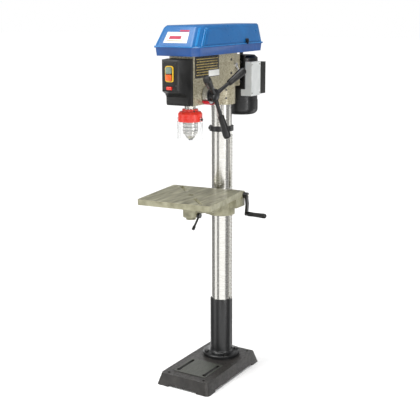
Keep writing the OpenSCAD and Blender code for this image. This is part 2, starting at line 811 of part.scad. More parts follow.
module guard_shield() color([0.8, 0.85, 0.88, 0.35]) at_spindle() {
  t = 2.2;
  difference() {
    union() {
      translate([0, 0, guard_bottom]) cylinder(r = guard_r, h = guard_pivot_z - 13 - guard_bottom);
      for (s = [-1, 1]) {
        translate([s * (guard_r - t / 2 - 0.5) - t / 2, 0, guard_pivot_z]) along_x(9, t);
        translate([s * (guard_r - t / 2 - 0.5) - t / 2, -9, guard_bottom + 10])
          cube([t, 18, guard_pivot_z - guard_bottom - 10]);
      }
    }
    translate([0, 0, guard_bottom - 1]) cylinder(r = guard_r - t, h = guard_pivot_z - 13 - guard_bottom + 2);
    translate([-100, 10, guard_bottom - 1]) cube([200, 100, 200]);
    translate([-100, 0, guard_pivot_z]) along_x(2.5 + run, 200);
  }
}

// ---- feed ----
module feed_shaft() color([0.65, 0.65, 0.65]) on_column() translate([0, feed_y, feed_z]) {
  facing_side(22) polygon(gear_points(feed_teeth, tooth));
  translate([-boss_x - 24, 0, 0]) along_x(feed_tail_r, boss_x + 14);
  along_x(11, 20);
  translate([16, 0, 0]) along_x(feed_journal_r, boss_x - 16 + gap);
  translate([boss_x, 0, 0]) along_x(11, ring_w + 2 * gap + hub_l - 4);
}

module depth_ring() color([0.75, 0.76, 0.77]) on_column()
  translate([boss_x + gap, feed_y, feed_z]) {
  difference() {
    along_x(36, ring_w);
    translate([-1, 0, 0]) along_x(11 + run, ring_w + 2);
    translate([-1, 0, 0]) along_x(31, 8);
  }
}

module depth_stop() color([0.8, 0.08, 0.1]) on_column() translate([head_half_w, feed_y, feed_z]) {
  difference() {
    along_x(41, 29);
    translate([-1, 0, 0]) along_x(36 + gap, 40);
    translate([-1, -60, -22]) cube([40, 120, 90]);
  }
}

module feed_hub() color([0.12, 0.12, 0.12]) on_column() translate([hub_x, feed_y, feed_z]) {
  difference() {
    rotate([0, 90, 0]) rotate_extrude() polygon([
      [11 + run, 0], [21, 0], [23, 3], [23, hub_l - 6], [19, hub_l], [11 + run, hub_l]]);
    for (a = rest_arms) {
      rotate([a, 0, 0]) rotate([-90, 0, 0]) translate([hub_l / 2, 0, 0])
        rotate([0, lean, 0]) translate([0, 0, 12]) cylinder(r = 6 + run, h = 30);
    }
  }
}

// places its children along one of the three arms, with their +Z pointing outwards
module along_arm(a) {
  on_column() translate([hub_x, feed_y, feed_z]) rotate([a, 0, 0]) rotate([-90, 0, 0])
    translate([hub_l / 2, 0, 0]) rotate([0, lean, 0]) children();
}

module feed_arms() color([0.2, 0.2, 0.2]) {
  for (a = rest_arms) {
    along_arm(a) translate([0, 0, 14.5]) cylinder(r = 6, h = handle_r / cos(lean) - 40);
  }
}

module feed_grips() color([0.1, 0.1, 0.1]) {
  grip = 98;
  start = handle_r / cos(lean) - grip;
  for (a = rest_arms) {
    along_arm(a) translate([0, 0, start]) rotate_extrude() polygon([
      [6 + run, 0], [9.5, 0], [11, 5], [12, 30], [14.5, grip - 16], [13.5, grip - 6], [9, grip - 1],
      [0, grip], [0, grip - 24], [6 + run, grip - 24]]);
  }
}

// ---- drive ----
module step_pulley(steps, bore) {
  difference() {
    rotate_extrude() polygon(concat(
      [[bore, 0]],
      [for (i = [0:3]) let (z = i * step_h) each [
        [steps[i] + 4, z], [steps[i] + 4, z + 1.5], [steps[i] - 5, z + 4.5],
        [steps[i] - 5, z + 10.5], [steps[i] + 4, z + 13.5]]],
      [[steps[3] + 4, pulley_h - 2], [steps[3] + 4, pulley_h], [bore, pulley_h]]));
    translate([0, 0, pulley_h + 1]) mirror([0, 0, 1]) cylinder(r = bore, h = 4);
  }
}

module spindle_pulley() color([0.7, 0.7, 0.7]) at_spindle() {
  difference() {
    union() {
      translate([0, 0, pulley_z]) step_pulley(spindle_steps, 6);
      translate([0, 0, head_top - bearing_seat - 14])
        cylinder(r = 15 - run, h = pulley_z - head_top + bearing_seat + 15);
    }
    translate([0, 0, head_top - 60]) cylinder(r = 8 + run, h = 200);
    for (a = [0:60:300]) {
      rotate(a) translate([6, -1.5 - run, head_top - 60]) cube([3.9 + run, 3 + 2 * run, 200]);
    }
  }
}

module pulley_bearings() color([0.6, 0.6, 0.62]) at_spindle() {
  for (z = [head_top - bearing_seat - 15, head_top - 12]) {
    translate([0, 0, z]) tube(31, 15, 11.5);
  }
}

module idler_arm() color([0.3, 0.3, 0.3]) on_column() translate([0, -idler_reach, 0]) {
  translate([idler_pivot_x + 12, 0, head_top - 19]) cylinder(r = 6, h = idler_arm_z - head_top + 20);
  difference() {
    translate([0, 0, idler_arm_z]) hull() {
      translate([idler_pivot_x + 12, 0, 0]) cylinder(r = 11, h = 7, $fn = 32);
      cylinder(r = 13, h = 7, $fn = 32);
    }
    translate([0, 0, idler_arm_z - 1]) cylinder(r = 3, h = 10);
  }
  translate([0, 0, idler_arm_z + 3]) cylinder(r = 8, h = pulley_h + pulley_z - idler_arm_z - 4);
}

module idler_pulley() color([0.7, 0.7, 0.7]) on_column() translate([0, -idler_reach, pulley_z]) {
  step_pulley(idler_steps, 8 + run);
}

module motor_pulley() color([0.7, 0.7, 0.7]) on_column() translate([0, motor_y, pulley_z]) {
  step_pulley(motor_steps, shaft_r + run);
}

// a closed V-belt round two pulleys, drawn along +Y from the first
module belt(y1, r1, y2, r2, z) {
  d = y2 - y1;
  lean_b = asin((r1 - r2) / d);
  module loop(grow) {
    polygon(concat(
      [for (i = [0:24]) let (a = -180 - lean_b + i * (180 + 2 * lean_b) / 24)
        [cos(a) * (r1 + grow), y1 + sin(a) * (r1 + grow)]],
      [for (i = [0:24]) let (a = lean_b + i * (180 - 2 * lean_b) / 24)
        [cos(a) * (r2 + grow), y2 + sin(a) * (r2 + grow)]]));
  }
  translate([0, 0, z - 3.9]) linear_extrude(7.8) difference() {
    loop(3);
    loop(-1);
  }
  translate([0, 0, z - 2.7]) linear_extrude(5.4) difference() {
    loop(-1);
    loop(-4);
  }
}

module front_belt() color([0.08, 0.08, 0.08]) on_column() {
  belt(-reach, spindle_steps[front_level], -idler_reach, idler_steps[front_level],
    pulley_z + front_level * step_h + step_h / 2);
}

module rear_belt() color([0.08, 0.08, 0.08]) on_column() {
  belt(-idler_reach, idler_steps[rear_level], motor_y, motor_steps[rear_level],
    pulley_z + rear_level * step_h + step_h / 2);
}

// plan corners of the belt cover, pulled in by grow, with the front pulled back by rake
function cover_corners(grow, rake) = [
  [78 - grow, cover_front + grow + rake + 10], [cover_half_w - 10 - grow, cover_front + 34 + grow + rake],
  [80 - 10 - grow, cover_rear - 32 - grow], [52 - grow, cover_rear - 10 - grow]];

module cover_layer(grow, rake, z) {
  for (c = cover_corners(grow, rake), s = [-1, 1]) {
    translate([s * c[0], c[1], z]) cylinder(r = 10, h = eps, $fn = 32);
  }
}

module belt_pan() color([0.05, 0.2, 0.6]) on_column() {
  hinge_len = 46;
  difference() {
    union() {
      hull() {
        cover_layer(3, 0, pan_bottom);
        cover_layer(0, 0, parting_z - gap - eps);
      }
      hull() {
        cover_layer(-4, 0, parting_z - gap - 3);
        cover_layer(-4, 0, parting_z - gap - eps);
      }
      for (y = [-200, 60]) {
        hinge_spot(y) {
          translate([0, gap, 0]) along_y(hinge_r, hinge_len / 2 - gap);
          translate([-2.5, gap, -14]) cube([5, hinge_len / 2 - gap, 14]);
          translate([-2.5, gap, -18]) cube([16, hinge_len / 2 - gap, 6]);
        }
      }
    }
    hull() {
      cover_layer(3 + cover_wall, 0, pan_bottom + cover_wall);
      cover_layer(cover_wall, 0, parting_z + 1);
    }
    translate([0, -reach, pan_bottom - 1]) cylinder(r = 33, h = 10);
    translate([idler_pivot_x + 12, -idler_reach, pan_bottom - 1]) cylinder(r = 12, h = 10);
    translate([-16, motor_y - slide_travel - 16, pan_bottom - 1]) cube([32, slide_travel + 32, 10]);
    for (y = [-200, 60]) {
      hinge_spot(y) {
        translate([0, -hinge_len, 0]) along_y(2 + run, 2 * hinge_len);
        translate([-hinge_r - gap, -hinge_len / 2, -hinge_r - gap])
          cube([2 * hinge_r + 2 * gap, hinge_len / 2 - gap, 2 * hinge_r + 20]);
      }
    }
  }
  for (y = [-200, 60]) {
    hinge_spot(y) translate([0, -hinge_len / 2 + 1, 0]) along_y(2, hinge_len - 2);
  }
}

// the lid's hinge line runs along the cover's left side
module hinge_spot(y) {
  translate([-cover_half_w - 9, -335, parting_z + hinge_r + 1]) rotate(-taper) translate([0, y + 335, 0])
    children();
}

module lid() color([0.08, 0.3, 0.75]) on_column() {
  hinge_len = 46;
  difference() {
    union() {
      hull() {
        cover_layer(0, 0, parting_z);
        cover_layer(12, 40, cover_top - 6);
        cover_layer(16, 46, cover_top - eps);
      }
      hull() {
        cover_layer(-4, 0, parting_z);
        cover_layer(-4, 0, parting_z + 3);
      }
      for (y = [-200, 60]) {
        hinge_spot(y) {
          translate([0, -hinge_len / 2, 0]) along_y(hinge_r, hinge_len / 2 - gap);
          translate([0, -hinge_len / 2, -hinge_r]) cube([14, hinge_len / 2 - gap, 6]);
        }
      }
    }
    hull() {
      cover_layer(cover_wall, 0, parting_z - 1);
      cover_layer(12 + cover_wall, 40, cover_top - 6 - cover_wall);
      cover_layer(16 + cover_wall, 46, cover_top - cover_wall);
    }
    for (y = [-200, 60]) {
      hinge_spot(y) {
        translate([0, -hinge_len, 0]) along_y(2 + run, 2 * hinge_len);
        translate([-hinge_r - gap, -gap, -hinge_r - gap])
          cube([2 * hinge_r + 2 * gap, hinge_len / 2 + gap, 2 * hinge_r + 20]);
      }
    }
    translate([0, latch_y, latch_z]) along_x(5 + run, 140);
  }
}

module latch_knob() color([0.05, 0.05, 0.06]) on_column() translate([0, latch_y, latch_z]) {
  side_x = cover_half_w - (latch_y + 335) * tan(taper);
  translate([side_x - 12, 0, 0]) along_x(5, 22);
  translate([side_x + 1.5, 0, 0]) along_x(9, 8);
  translate([side_x + 6, -3, -15]) cube([5, 6, 22]);
}

// ---- motor ----
module motor_mount() color([0.1, 0.1, 0.1]) on_column() {
  translate([-62, mount_y, 1268]) cube([124, mount_t, 146]);
  for (s = [-1, 1], z = bar_z) {
    translate([s * bar_x, 46, z]) along_y(bar_r, mount_y - 45);
  }
}

module motor_shell() color([0.06, 0.06, 0.07]) on_column() translate([0, motor_y, 0]) {
  difference() {
    union() {
      translate([0, 0, shell_bottom]) cylinder(r = motor_r, h = shell_top - shell_bottom);
      translate([-40, mount_y + mount_t - motor_y, 1276]) cube([80, 40, 100]);
    }
    translate([0, 0, shell_bottom - 1]) cylinder(r = 46, h = 300);
    for (z = [shell_bottom - 1, shell_top - 24]) {
      translate([0, 0, z]) cylinder(r = motor_r - 4, h = 25);
    }
  }
}

module motor_bells() color([0.05, 0.05, 0.06]) on_column() translate([0, motor_y, 0]) {
  difference() {
    rotate_extrude() polygon(concat(
      [[shaft_r + run, motor_bottom]],
      [for (a = [0:15:90]) [motor_r + 2 - 24 * (1 - sin(a)), motor_bottom + 24 * (1 - cos(a))]],
      [[motor_r + 2, shell_bottom - gap], [motor_r - 3, shell_bottom - gap],
        [motor_r - 3, motor_bottom + 30], [20, motor_bottom + 8], [shaft_r + run, motor_bottom + 8]]));
    for (a = [0:30:330]) {
      rotate(a) translate([34, -3, motor_bottom - 1]) cube([18, 6, 20]);
    }
  }
  translate([0, 0, shell_top + gap]) rotate_extrude() polygon([
    [shaft_r + run, 0], [motor_r, 0], [motor_r, 6], [motor_r - 14, motor_top - shell_top - gap],
    [shaft_r + run, motor_top - shell_top - gap]]);
}

module capacitor_box() color([0.78, 0.79, 0.78]) on_column() {
  difference() {
    translate([40, capacitor_y, 1238]) cube([52, capacitor_split - capacitor_y, 148]);
    translate([0, motor_y, 1200]) cylinder(r = motor_r + 0.4, h = 300);
    translate([39, capacitor_y + 3, 1241]) cube([50, capacitor_split - capacitor_y - 6, 142]);
  }
}

module capacitor_cover() color([0.08, 0.08, 0.08]) on_column() {
  difference() {
    translate([30, capacitor_split + gap, 1242]) cube([60, 52, 140]);
    translate([0, motor_y, 1200]) cylinder(r = motor_r + 0.4, h = 300);
    translate([29, capacitor_split + gap - 1, 1245]) cube([58, 50, 134]);
  }
}

module motor_rotor() color([0.6, 0.6, 0.6]) on_column() translate([0, motor_y, 0]) {
  translate([0, 0, motor_bottom + 2]) cylinder(r = shaft_r, h = pulley_z + pulley_h - motor_bottom - 6);
  translate([0, 0, 1246]) cylinder(r = 45, h = 112);
  translate([0, 0, 1190]) cylinder(r = 20, h = 12);
  for (a = [0:45:315]) {
    rotate(a) translate([18, -1.5, 1186]) cube([40, 3, 16]);
  }
}

module tension_lever() color([0.85, 0.85, 0.86]) on_column() translate([0, lever_y, lever_z]) {
  translate([bracket_r - 10, 0, 0]) along_x(6, 12);
  translate([bracket_r + gap, 0, 0]) along_x(10, 8);
  rotate([-48, 0, 0]) translate([bracket_r + 5, 4, 0]) along_y(4, 58);
}

base_casting();
column_support();
support_bolts();
column();
rack_collar();
set_screws();
head_casting();
front_cover();
switch_plate();
work_lamp();
spring_cap();
return_spring();
pulley_bearings();
belt_pan();
front_belt();
depth_stop();
rack();
table_bracket();
tilt_bolt();
worm_shaft();
crank_arm();
crank_grip();
lift_pinion();
bracket_lock();
table_arm();
table();
table_lock();
quill();
quill_bearings();
guard_collar();
guard_screws();
spindle();
chuck_body();
chuck_sleeve();
chuck_jaw_1();
chuck_jaw_2();
chuck_jaw_3();
guard_shield();
feed_shaft();
feed_hub();
feed_arms();
feed_grips();
depth_ring();
spindle_pulley();
idler_arm();
idler_pulley();
rear_belt();
motor_mount();
motor_shell();
motor_bells();
capacitor_box();
capacitor_cover();
motor_rotor();
motor_pulley();
tension_lever();
lid();
latch_knob();
start_button();
stop_button();
lamp_rocker();
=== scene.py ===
import bpy
import bmesh
import json
import math
from mathutils import Matrix, Vector


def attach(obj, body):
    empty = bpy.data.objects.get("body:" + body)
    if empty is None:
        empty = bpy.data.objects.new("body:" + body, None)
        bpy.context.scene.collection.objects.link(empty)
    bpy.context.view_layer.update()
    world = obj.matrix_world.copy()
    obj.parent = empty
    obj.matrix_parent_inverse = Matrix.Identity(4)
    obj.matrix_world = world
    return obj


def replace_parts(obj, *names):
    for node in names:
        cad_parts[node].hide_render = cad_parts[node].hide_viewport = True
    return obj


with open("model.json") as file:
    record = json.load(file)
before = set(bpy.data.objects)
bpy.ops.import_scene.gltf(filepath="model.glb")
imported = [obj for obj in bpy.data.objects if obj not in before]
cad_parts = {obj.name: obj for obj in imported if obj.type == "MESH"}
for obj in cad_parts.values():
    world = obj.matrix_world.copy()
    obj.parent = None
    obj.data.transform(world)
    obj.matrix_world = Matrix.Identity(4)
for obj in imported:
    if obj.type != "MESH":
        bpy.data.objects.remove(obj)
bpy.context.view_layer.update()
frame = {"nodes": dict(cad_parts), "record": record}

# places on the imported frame, in metres: +Z is up, the front faces -Y
COLUMN = Vector((0, 0.109, 0))
SPINDLE = Vector((0, -0.143, 0))
FEED_AXIS = Vector((0, -0.108, 1.270))
MOTOR = Vector((0, 0.283, 0))
HEAD_X = 0.056          # right side of the head
FRONT_Y = -0.291        # face of the front cover
ON_RIGHT = ((0, 1, 0), (0, 0, 1))   # a plate's two directions on a face that looks right
ON_FRONT = ((1, 0, 0), (0, 0, 1))   # and on one that looks forward


# ---------------------------------------------------------------- materials
class Paint:
    """A Principled material whose detail comes from noise in object space."""

    def __init__(self, name, rough=0.5, metal=0.0, **sockets):
        self.m = bpy.data.materials.new(name)
        self.m.use_nodes = True
        self.t = self.m.node_tree
        self.b = self.t.nodes["Principled BSDF"]
        self.b.inputs["Roughness"].default_value = rough
        self.b.inputs["Metallic"].default_value = metal
        for k, v in sockets.items():
            self.b.inputs[k.replace("_", " ")].default_value = v
        self.coord = self.t.nodes.new("ShaderNodeTexCoord")
        self.height = None

    def node(self, kind, **props):
        n = self.t.nodes.new(kind)
        for k, v in props.items():
            setattr(n, k, v)
        return n

    def where(self, stretch=(1, 1, 1)):
        n = self.node("ShaderNodeMapping")
        n.inputs["Scale"].default_value = stretch
        self.t.links.new(self.coord.outputs["Object"], n.inputs["Vector"])
        return n.outputs["Vector"]

    def noise(self, scale, detail=3, stretch=(1, 1, 1)):
        n = self.node("ShaderNodeTexNoise")
        n.inputs["Scale"].default_value = scale
        n.inputs["Detail"].default_value = detail
        self.t.links.new(self.where(stretch), n.inputs["Vector"])
        return n.outputs["Fac"]

    def cells(self, scale):
        n = self.node("ShaderNodeTexVoronoi", feature="SMOOTH_F1")
        n.inputs["Scale"].default_value = scale
        self.t.links.new(self.where(), n.inputs["Vector"])
        return n.outputs["Distance"]

    def ramp(self, value, stops):
        n = self.node("ShaderNodeValToRGB")
        e = n.color_ramp.elements
        while len(e) < len(stops):
            e.new(0.5)
        for item, (at, c) in zip(e, stops):
            item.position = at
            item.color = (*c, 1)
        self.t.links.new(value, n.inputs["Fac"])
        return n.outputs["Color"]

    def colour(self, value, *stops):
        self.t.links.new(self.ramp(value, stops), self.b.inputs["Base Color"])

    def roughness(self, value, low, high):
        n = self.node("ShaderNodeMapRange")
        n.inputs["From Min"].default_value = 0.3
        n.inputs["From Max"].default_value = 0.7
        n.inputs["To Min"].default_value = low
        n.inputs["To Max"].default_value = high
        self.t.links.new(value, n.inputs["Value"])
        self.t.links.new(n.outputs["Result"], self.b.inputs["Roughness"])

    def bump(self, value, strength, distance):
        n = self.node("ShaderNodeBump")
        n.inputs["Strength"].default_value = strength
        n.inputs["Distance"].default_value = distance
        self.t.links.new(value, n.inputs["Height"])
        if self.height is not None:
            self.t.links.new(self.height, n.inputs["Normal"])
        self.height = n.outputs["Normal"]
        self.t.links.new(self.height, self.b.inputs["Normal"])


def gloss_paint(name, dark, mid, light, rough=0.3, coat=0.4):
    p = Paint(name, rough, Coat_Weight=coat, Coat_Roughness=0.12)
    p.colour(p.noise(9, 4), (0.25, dark), (0.55, mid), (0.8, light))
    p.roughness(p.noise(60, 4), rough - 0.06, rough + 0.1)
    p.bump(p.noise(420, 2), 0.12, 0.0004)
    return p.m


def cast_paint(name, dark, light, rough=0.5, grain=0.5):
    p = Paint(name, rough, Coat_Weight=0.15, Coat_Roughness=0.3)
    p.colour(p.noise(38, 6), (0.3, dark), (0.7, light))
    p.roughness(p.noise(90, 3), rough - 0.1, rough + 0.14)
    p.bump(p.noise(260, 5), grain, 0.0010)
    p.bump(p.noise(14, 2), 0.15, 0.002)
    return p.m


def hammertone(name, low, mid, high):
    p = Paint(name, 0.34, 0.35, Coat_Weight=0.5, Coat_Roughness=0.15)
    p.colour(p.cells(230), (0.05, high), (0.35, mid), (0.75, low))
    p.roughness(p.noise(120, 3), 0.26, 0.46)
    p.bump(p.cells(230), 0.45, 0.0007)
    p.bump(p.noise(30, 3), 0.2, 0.0012)
    return p.m


def ground_steel(name, dark, light, rough=0.28, stretch=(1, 1, 30), scale=30, metal=1.0):
    p = Paint(name, rough, metal)
    p.colour(p.noise(scale, 5, stretch), (0.3, dark), (0.7, light))
    p.roughness(p.noise(scale * 1.7, 4, stretch), rough - 0.08, rough + 0.12)
    p.bump(p.noise(scale * 2.3, 3, stretch), 0.12, 0.0003)
    return p.m


def plastic(name, dark, light, rough=0.45, grain=600, strength=0.2):
    p = Paint(name, rough)
    p.colour(p.noise(25, 4), (0.3, dark), (0.7, light))
    p.roughness(p.noise(80, 3), rough - 0.07, rough + 0.1)
    p.bump(p.noise(grain, 2), strength, 0.0004)
    return p.m


def clear_plastic(name):
    p = Paint(name, 0.06, Transmission_Weight=0.9, IOR=1.3)
    p.colour(p.noise(40, 3), (0.3, (0.93, 0.94, 0.94)), (0.7, (0.99, 0.99, 0.99)))
    p.roughness(p.noise(150, 4, (1, 1, 0.3)), 0.01, 0.05)
    return p.m


FINISHES = {
    "black_paint": (gloss_paint, (0.002, 0.0022, 0.0026), (0.004, 0.0044, 0.005),
                    (0.008, 0.009, 0.0105), 0.34, 0.12),
    "hammertone": (hammertone, (0.23, 0.205, 0.13), (0.42, 0.38, 0.262), (0.62, 0.575, 0.43)),
    "blue_paint": (gloss_paint, (0.001, 0.100, 0.31), (0.002, 0.122, 0.36), (0.004, 0.15, 0.42),
                   0.33, 0.25),
    "blue_dark": (gloss_paint, (0.001, 0.052, 0.22), (0.001, 0.066, 0.27), (0.003, 0.085, 0.32),
                  0.36, 0.2),
    # lighter blue: a painted highlight on the lid's ribs and along its parting flange
    "blue_edge": (gloss_paint, (0.006, 0.17, 0.46), (0.012, 0.215, 0.54), (0.03, 0.27, 0.62),
                  0.3, 0.3),
    "red_paint": (gloss_paint, (0.40, 0.010, 0.02), (0.55, 0.016, 0.03), (0.66, 0.03, 0.05),
                  0.35, 0.3),
    "base_iron": (cast_paint, (0.008, 0.007, 0.006), (0.026, 0.023, 0.020), 0.5, 0.9),
    "base_panel": (ground_steel, (0.035, 0.038, 0.031), (0.085, 0.09, 0.075), 0.42, (22, 1, 1),
                   30, 0.25),
    "table_iron": (cast_paint, (0.20, 0.19, 0.115), (0.36, 0.345, 0.235), 0.46, 0.5),
    "table_top": (ground_steel, (0.15, 0.14, 0.09), (0.44, 0.425, 0.30), 0.36, (7, 1, 1), 9, 0.4),
    "bright_steel": (ground_steel, (0.52, 0.51, 0.48), (0.68, 0.67, 0.635), 0.2),
    "dark_steel": (ground_steel, (0.05, 0.05, 0.05), (0.12, 0.12, 0.12), 0.4, (1, 1, 12)),
    "chrome": (ground_steel, (0.78, 0.78, 0.79), (0.88, 0.88, 0.89), 0.12, (1, 1, 4)),
    "cast_aluminium": (ground_steel, (0.50, 0.51, 0.52), (0.70, 0.71, 0.72), 0.33, (30, 1, 1)),
    "black_plastic": (plastic, (0.003, 0.003, 0.003), (0.008, 0.0078, 0.007), 0.38),
    "yellow_plastic": (plastic, (0.72, 0.42, 0.012), (0.86, 0.56, 0.03), 0.35),
    "green_plastic": (plastic, (0.16, 0.22, 0.17), (0.22, 0.29, 0.23), 0.3),
    "red_plastic": (plastic, (0.68, 0.028, 0.016), (0.82, 0.05, 0.03), 0.28),
    "orange_plastic": (plastic, (0.66, 0.10, 0.012), (0.80, 0.16, 0.03), 0.28),
    "clear_plastic": (clear_plastic,),
    "belt_rubber": (plastic, (0.010, 0.010, 0.010), (0.024, 0.024, 0.024), 0.7, 300, 0.5),
    "grey_plastic": (plastic, (0.52, 0.54, 0.53), (0.62, 0.63, 0.62), 0.4),
    "lamp_glass": (plastic, (0.75, 0.74, 0.68), (0.85, 0.84, 0.78), 0.2),
    "label_white": (plastic, (0.70, 0.70, 0.66), (0.82, 0.82, 0.78), 0.35, 300, 0.05),
    "label_black": (plastic, (0.014, 0.013, 0.010), (0.03, 0.027, 0.02), 0.3, 300, 0.05),
    "label_gold": (plastic, (0.30, 0.22, 0.06), (0.42, 0.32, 0.10), 0.35, 300, 0.05),
    "label_red": (plastic, (0.40, 0.02, 0.06), (0.52, 0.03, 0.09), 0.35, 300, 0.05),
}
M = {name: make(name, *values) for name, (make, *values) in FINISHES.items()}
SLOT = {s["node"]: s["material_slot"] for s in frame["record"]["subparts"]}
BODY = {n: b for b, nodes in frame["record"]["behaviour"]["bodies"].items() for n in nodes}
for name, obj in frame["nodes"].items():
    obj.data.materials.clear()
    obj.data.materials.append(M[SLOT[name]])


# ---------------------------------------------------------------- pieces
def add(name, bm, body, slot, material=None, smooth=40, bevel=0.0, segments=2):
    mesh = bpy.data.meshes.new(name)
    bm.to_mesh(mesh)
    bm.free()
    for m in material if isinstance(material, list) else [material or slot]:
        mesh.materials.append(M[m])
    obj = bpy.data.objects.new(name, mesh)
    bpy.context.scene.collection.objects.link(obj)
    if bevel:
        b = obj.modifiers.new("edge", "BEVEL")
        b.width = bevel
        b.segments = segments
        b.limit_method = "ANGLE"
        b.angle_limit = math.radians(38)
        b.harden_normals = True
    mesh.polygons.foreach_set("use_smooth", [True] * len(mesh.polygons))
    mesh.set_sharp_from_angle(angle=math.radians(smooth))
    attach(obj, body)
    return obj


def refined(node, bevel, materials=None, pick=None, segments=2):
    """The node's own shape with rounded edges, and a finish chosen face by face."""
    bm = bmesh.new()
    bm.from_mesh(frame["nodes"][node].data)
    bmesh.ops.remove_doubles(bm, verts=bm.verts, dist=1e-5)
    bmesh.ops.dissolve_limit(bm, angle_limit=math.radians(1.0), verts=bm.verts, edges=bm.edges)
    if pick:
        for f in bm.faces:
            f.material_index = pick(f.calc_center_median(), f.normal)
    obj = add(node + "_finished", bm, BODY[node], SLOT[node], materials, 38, bevel, segments)
    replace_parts(obj, node)
    return obj


def revolve(name, body, slot, profile, at, axis="Z", material=None, turns=48):
    """Profile points are (radius, along the axis)."""
    bm = bmesh.new()
    rings = []
    for r, h in profile:
        angles = [i * math.tau / turns for i in range(turns)]
        rings.append([bm.verts.new((r * math.cos(a), r * math.sin(a), h)) for a in angles])
    for a, b in zip(rings, rings[1:]):
        for i in range(turns):
            j = (i + 1) % turns
            bm.faces.new((a[i], a[j], b[j], b[i]))
    bm.faces.new(list(reversed(rings[0])))
    bm.faces.new(rings[-1])
    turn = {"Z": Matrix(), "X": Matrix.Rotation(math.pi / 2, 4, "Y"),
            "-Y": Matrix.Rotation(math.pi / 2, 4, "X")}[axis]
    bmesh.ops.transform(bm, matrix=Matrix.Translation(at) @ turn, verts=bm.verts)
    bmesh.ops.recalc_face_normals(bm, faces=bm.faces)
    return add(name, bm, body, slot, material, 32)


def rounded(w, h, r, n=6):
    """Outline of a rectangle with round corners."""
    pts = []
    x, y = w / 2 - r, h / 2 - r
    for cx, cy, a0 in ((x, y, 0), (-x, y, 90), (-x, -y, 180), (x, -y, 270)):
        for i in range(n + 1):
            a = math.radians(a0 + 90 * i / n)
            pts.append((cx + r * math.cos(a), cy + r * math.sin(a)))
    return pts


def slab(name, body, slot, outline, at, u, v, depth, material=None, crown=0.0006):
    """A plate with a softened edge; its outline lies along u and v, and it stands out on u x v."""
    u, v = Vector(u).normalized(), Vector(v).normalized()
    n = u.cross(v)
    bm = bmesh.new()
    rings = []
    for grow, out in ((0, 0), (0, depth - crown), (-crown * 0.35, depth - crown * 0.3),
                      (-crown, depth)):
        ring = []
        for i, (x, y) in enumerate(outline):
            x0, y0 = outline[i - 1]
            x1, y1 = outline[(i + 1) % len(outline)]
            d = Vector((y1 - y0, x0 - x1)).normalized()
            p = Vector(at) + u * (x + d.x * grow) + v * (y + d.y * grow) + n * out
            ring.append(bm.verts.new(p))
        rings.append(ring)
    for a, b in zip(rings, rings[1:]):
        for i in range(len(a)):
            j = (i + 1) % len(a)
            bm.faces.new((a[i], a[j], b[j], b[i]))
    bm.faces.new(list(reversed(rings[0])))
    bm.faces.new(rings[-1])
    bmesh.ops.recalc_face_normals(bm, faces=bm.faces)
    return add(name, bm, body, slot, material, 30)


def screw(name, body, at, axis, r, slot="dark_steel"):
    """A domed head with a round recess."""
    head = [(r, 0), (r, r * 0.35), (r * 0.82, r * 0.62), (r * 0.45, r * 0.72),
            (r * 0.42, r * 0.4), (0.0002, r * 0.4)]
    revolve(name, body, slot, head, at, axis, turns=24)


# castings and pressings: the CAD shape with its edges softened
refined("base_casting", 0.0026, ["base_iron", "base_panel"],
        lambda c, n: 1 if n.z > 0.9 and c.z > 0.0535 and c.y < 0.0 else 0, 3)
refined("column_support", 0.0012)
refined("rack_collar", 0.0012)
refined("table", 0.0016, ["table_iron", "table_top"],
        lambda c, n: 1 if n.z > 0.9 and c.z > 0.851 else 0, 3)
refined("table_bracket", 0.0028, segments=3)
refined("table_arm", 0.0026, segments=3)
refined("crank_arm", 0.0018)
refined("head_casting", 0.003, segments=3)
refined("front_cover", 0.0032, segments=4)
refined("spring_cap", 0.002)
refined("work_lamp", 0.001, ["lamp_glass", "black_paint"],
        lambda c, n: 1 if c.z > 1.2335 else 0)
refined("motor_mount", 0.0015)
refined("capacitor_box", 0.002)
refined("capacitor_cover", 0.003, segments=3)
refined("belt_pan", 0.0016, ["blue_dark"])
# the faces below the parting line take the lighter blue, a painted highlight along the flange
refined("lid", 0.0024, ["blue_paint", "blue_edge"],
        lambda c, n: 1 if c.z < 1.4692 and n.z > -0.5 else 0, 3)
refined("guard_collar", 0.0016)
refined("guard_shield", 0.0004)
refined("latch_knob", 0.0012)


# the feed arms swell towards their grips and screw into a full, domed hub
HUB_BACK = FEED_AXIS + Vector((0.0816, 0, 0))
HUB = [(0.0112, 0), (0.024, 0), (0.027, 0.003), (0.0275, 0.013), (0.026, 0.021),
       (0.020, 0.0265), (0.012, 0.029), (0.0002, 0.030)]
ARM = [(0.0085, 0.0160), (0.0092, 0.030), (0.0078, 0.045), (0.0078, 0.088),
       (0.0098, 0.0905), (0.0098, 0.0935), (0.0065, 0.095)]
GRIP = [(0.0065, 0.0853), (0.0112, 0.0858), (0.0128, 0.090), (0.0135, 0.112),
        (0.0143, 0.125), (0.0158, 0.150), (0.0163, 0.168), (0.0150, 0.1775),
        (0.0105, 0.1825), (0.0002, 0.1836)]
ARM_ANGLES = (33, 153, 273)
ARM_LEAN = math.radians(18.6)     # the arms lean away from the head
ARM_CROSSING = 0.013              # where their axes meet, out from the hub's back
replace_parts(revolve("hub_body", "feed", "black_paint", HUB, HUB_BACK, "X", turns=56), "feed_hub")
for i, angle in enumerate(ARM_ANGLES):
    turn = (Matrix.Translation(HUB_BACK) @ Matrix.Rotation(math.radians(angle), 4, "X")
            @ Matrix.Rotation(-math.pi / 2, 4, "X")
            @ Matrix.Translation((ARM_CROSSING, 0, 0)) @ Matrix.Rotation(ARM_LEAN, 4, "Y"))
    arm = revolve("arm_%d" % i, "feed", "dark_steel", ARM, (0, 0, 0), "Z", "black_paint", 32)
    grip = revolve("grip_%d" % i, "feed", "black_plastic", GRIP, (0, 0, 0), "Z", None, 40)
    for o in (arm, grip):
        o.data.transform(turn)
        o.data.update()
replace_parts(bpy.data.objects["arm_0"], "feed_arms")
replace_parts(bpy.data.objects["grip_0"], "feed_grips")


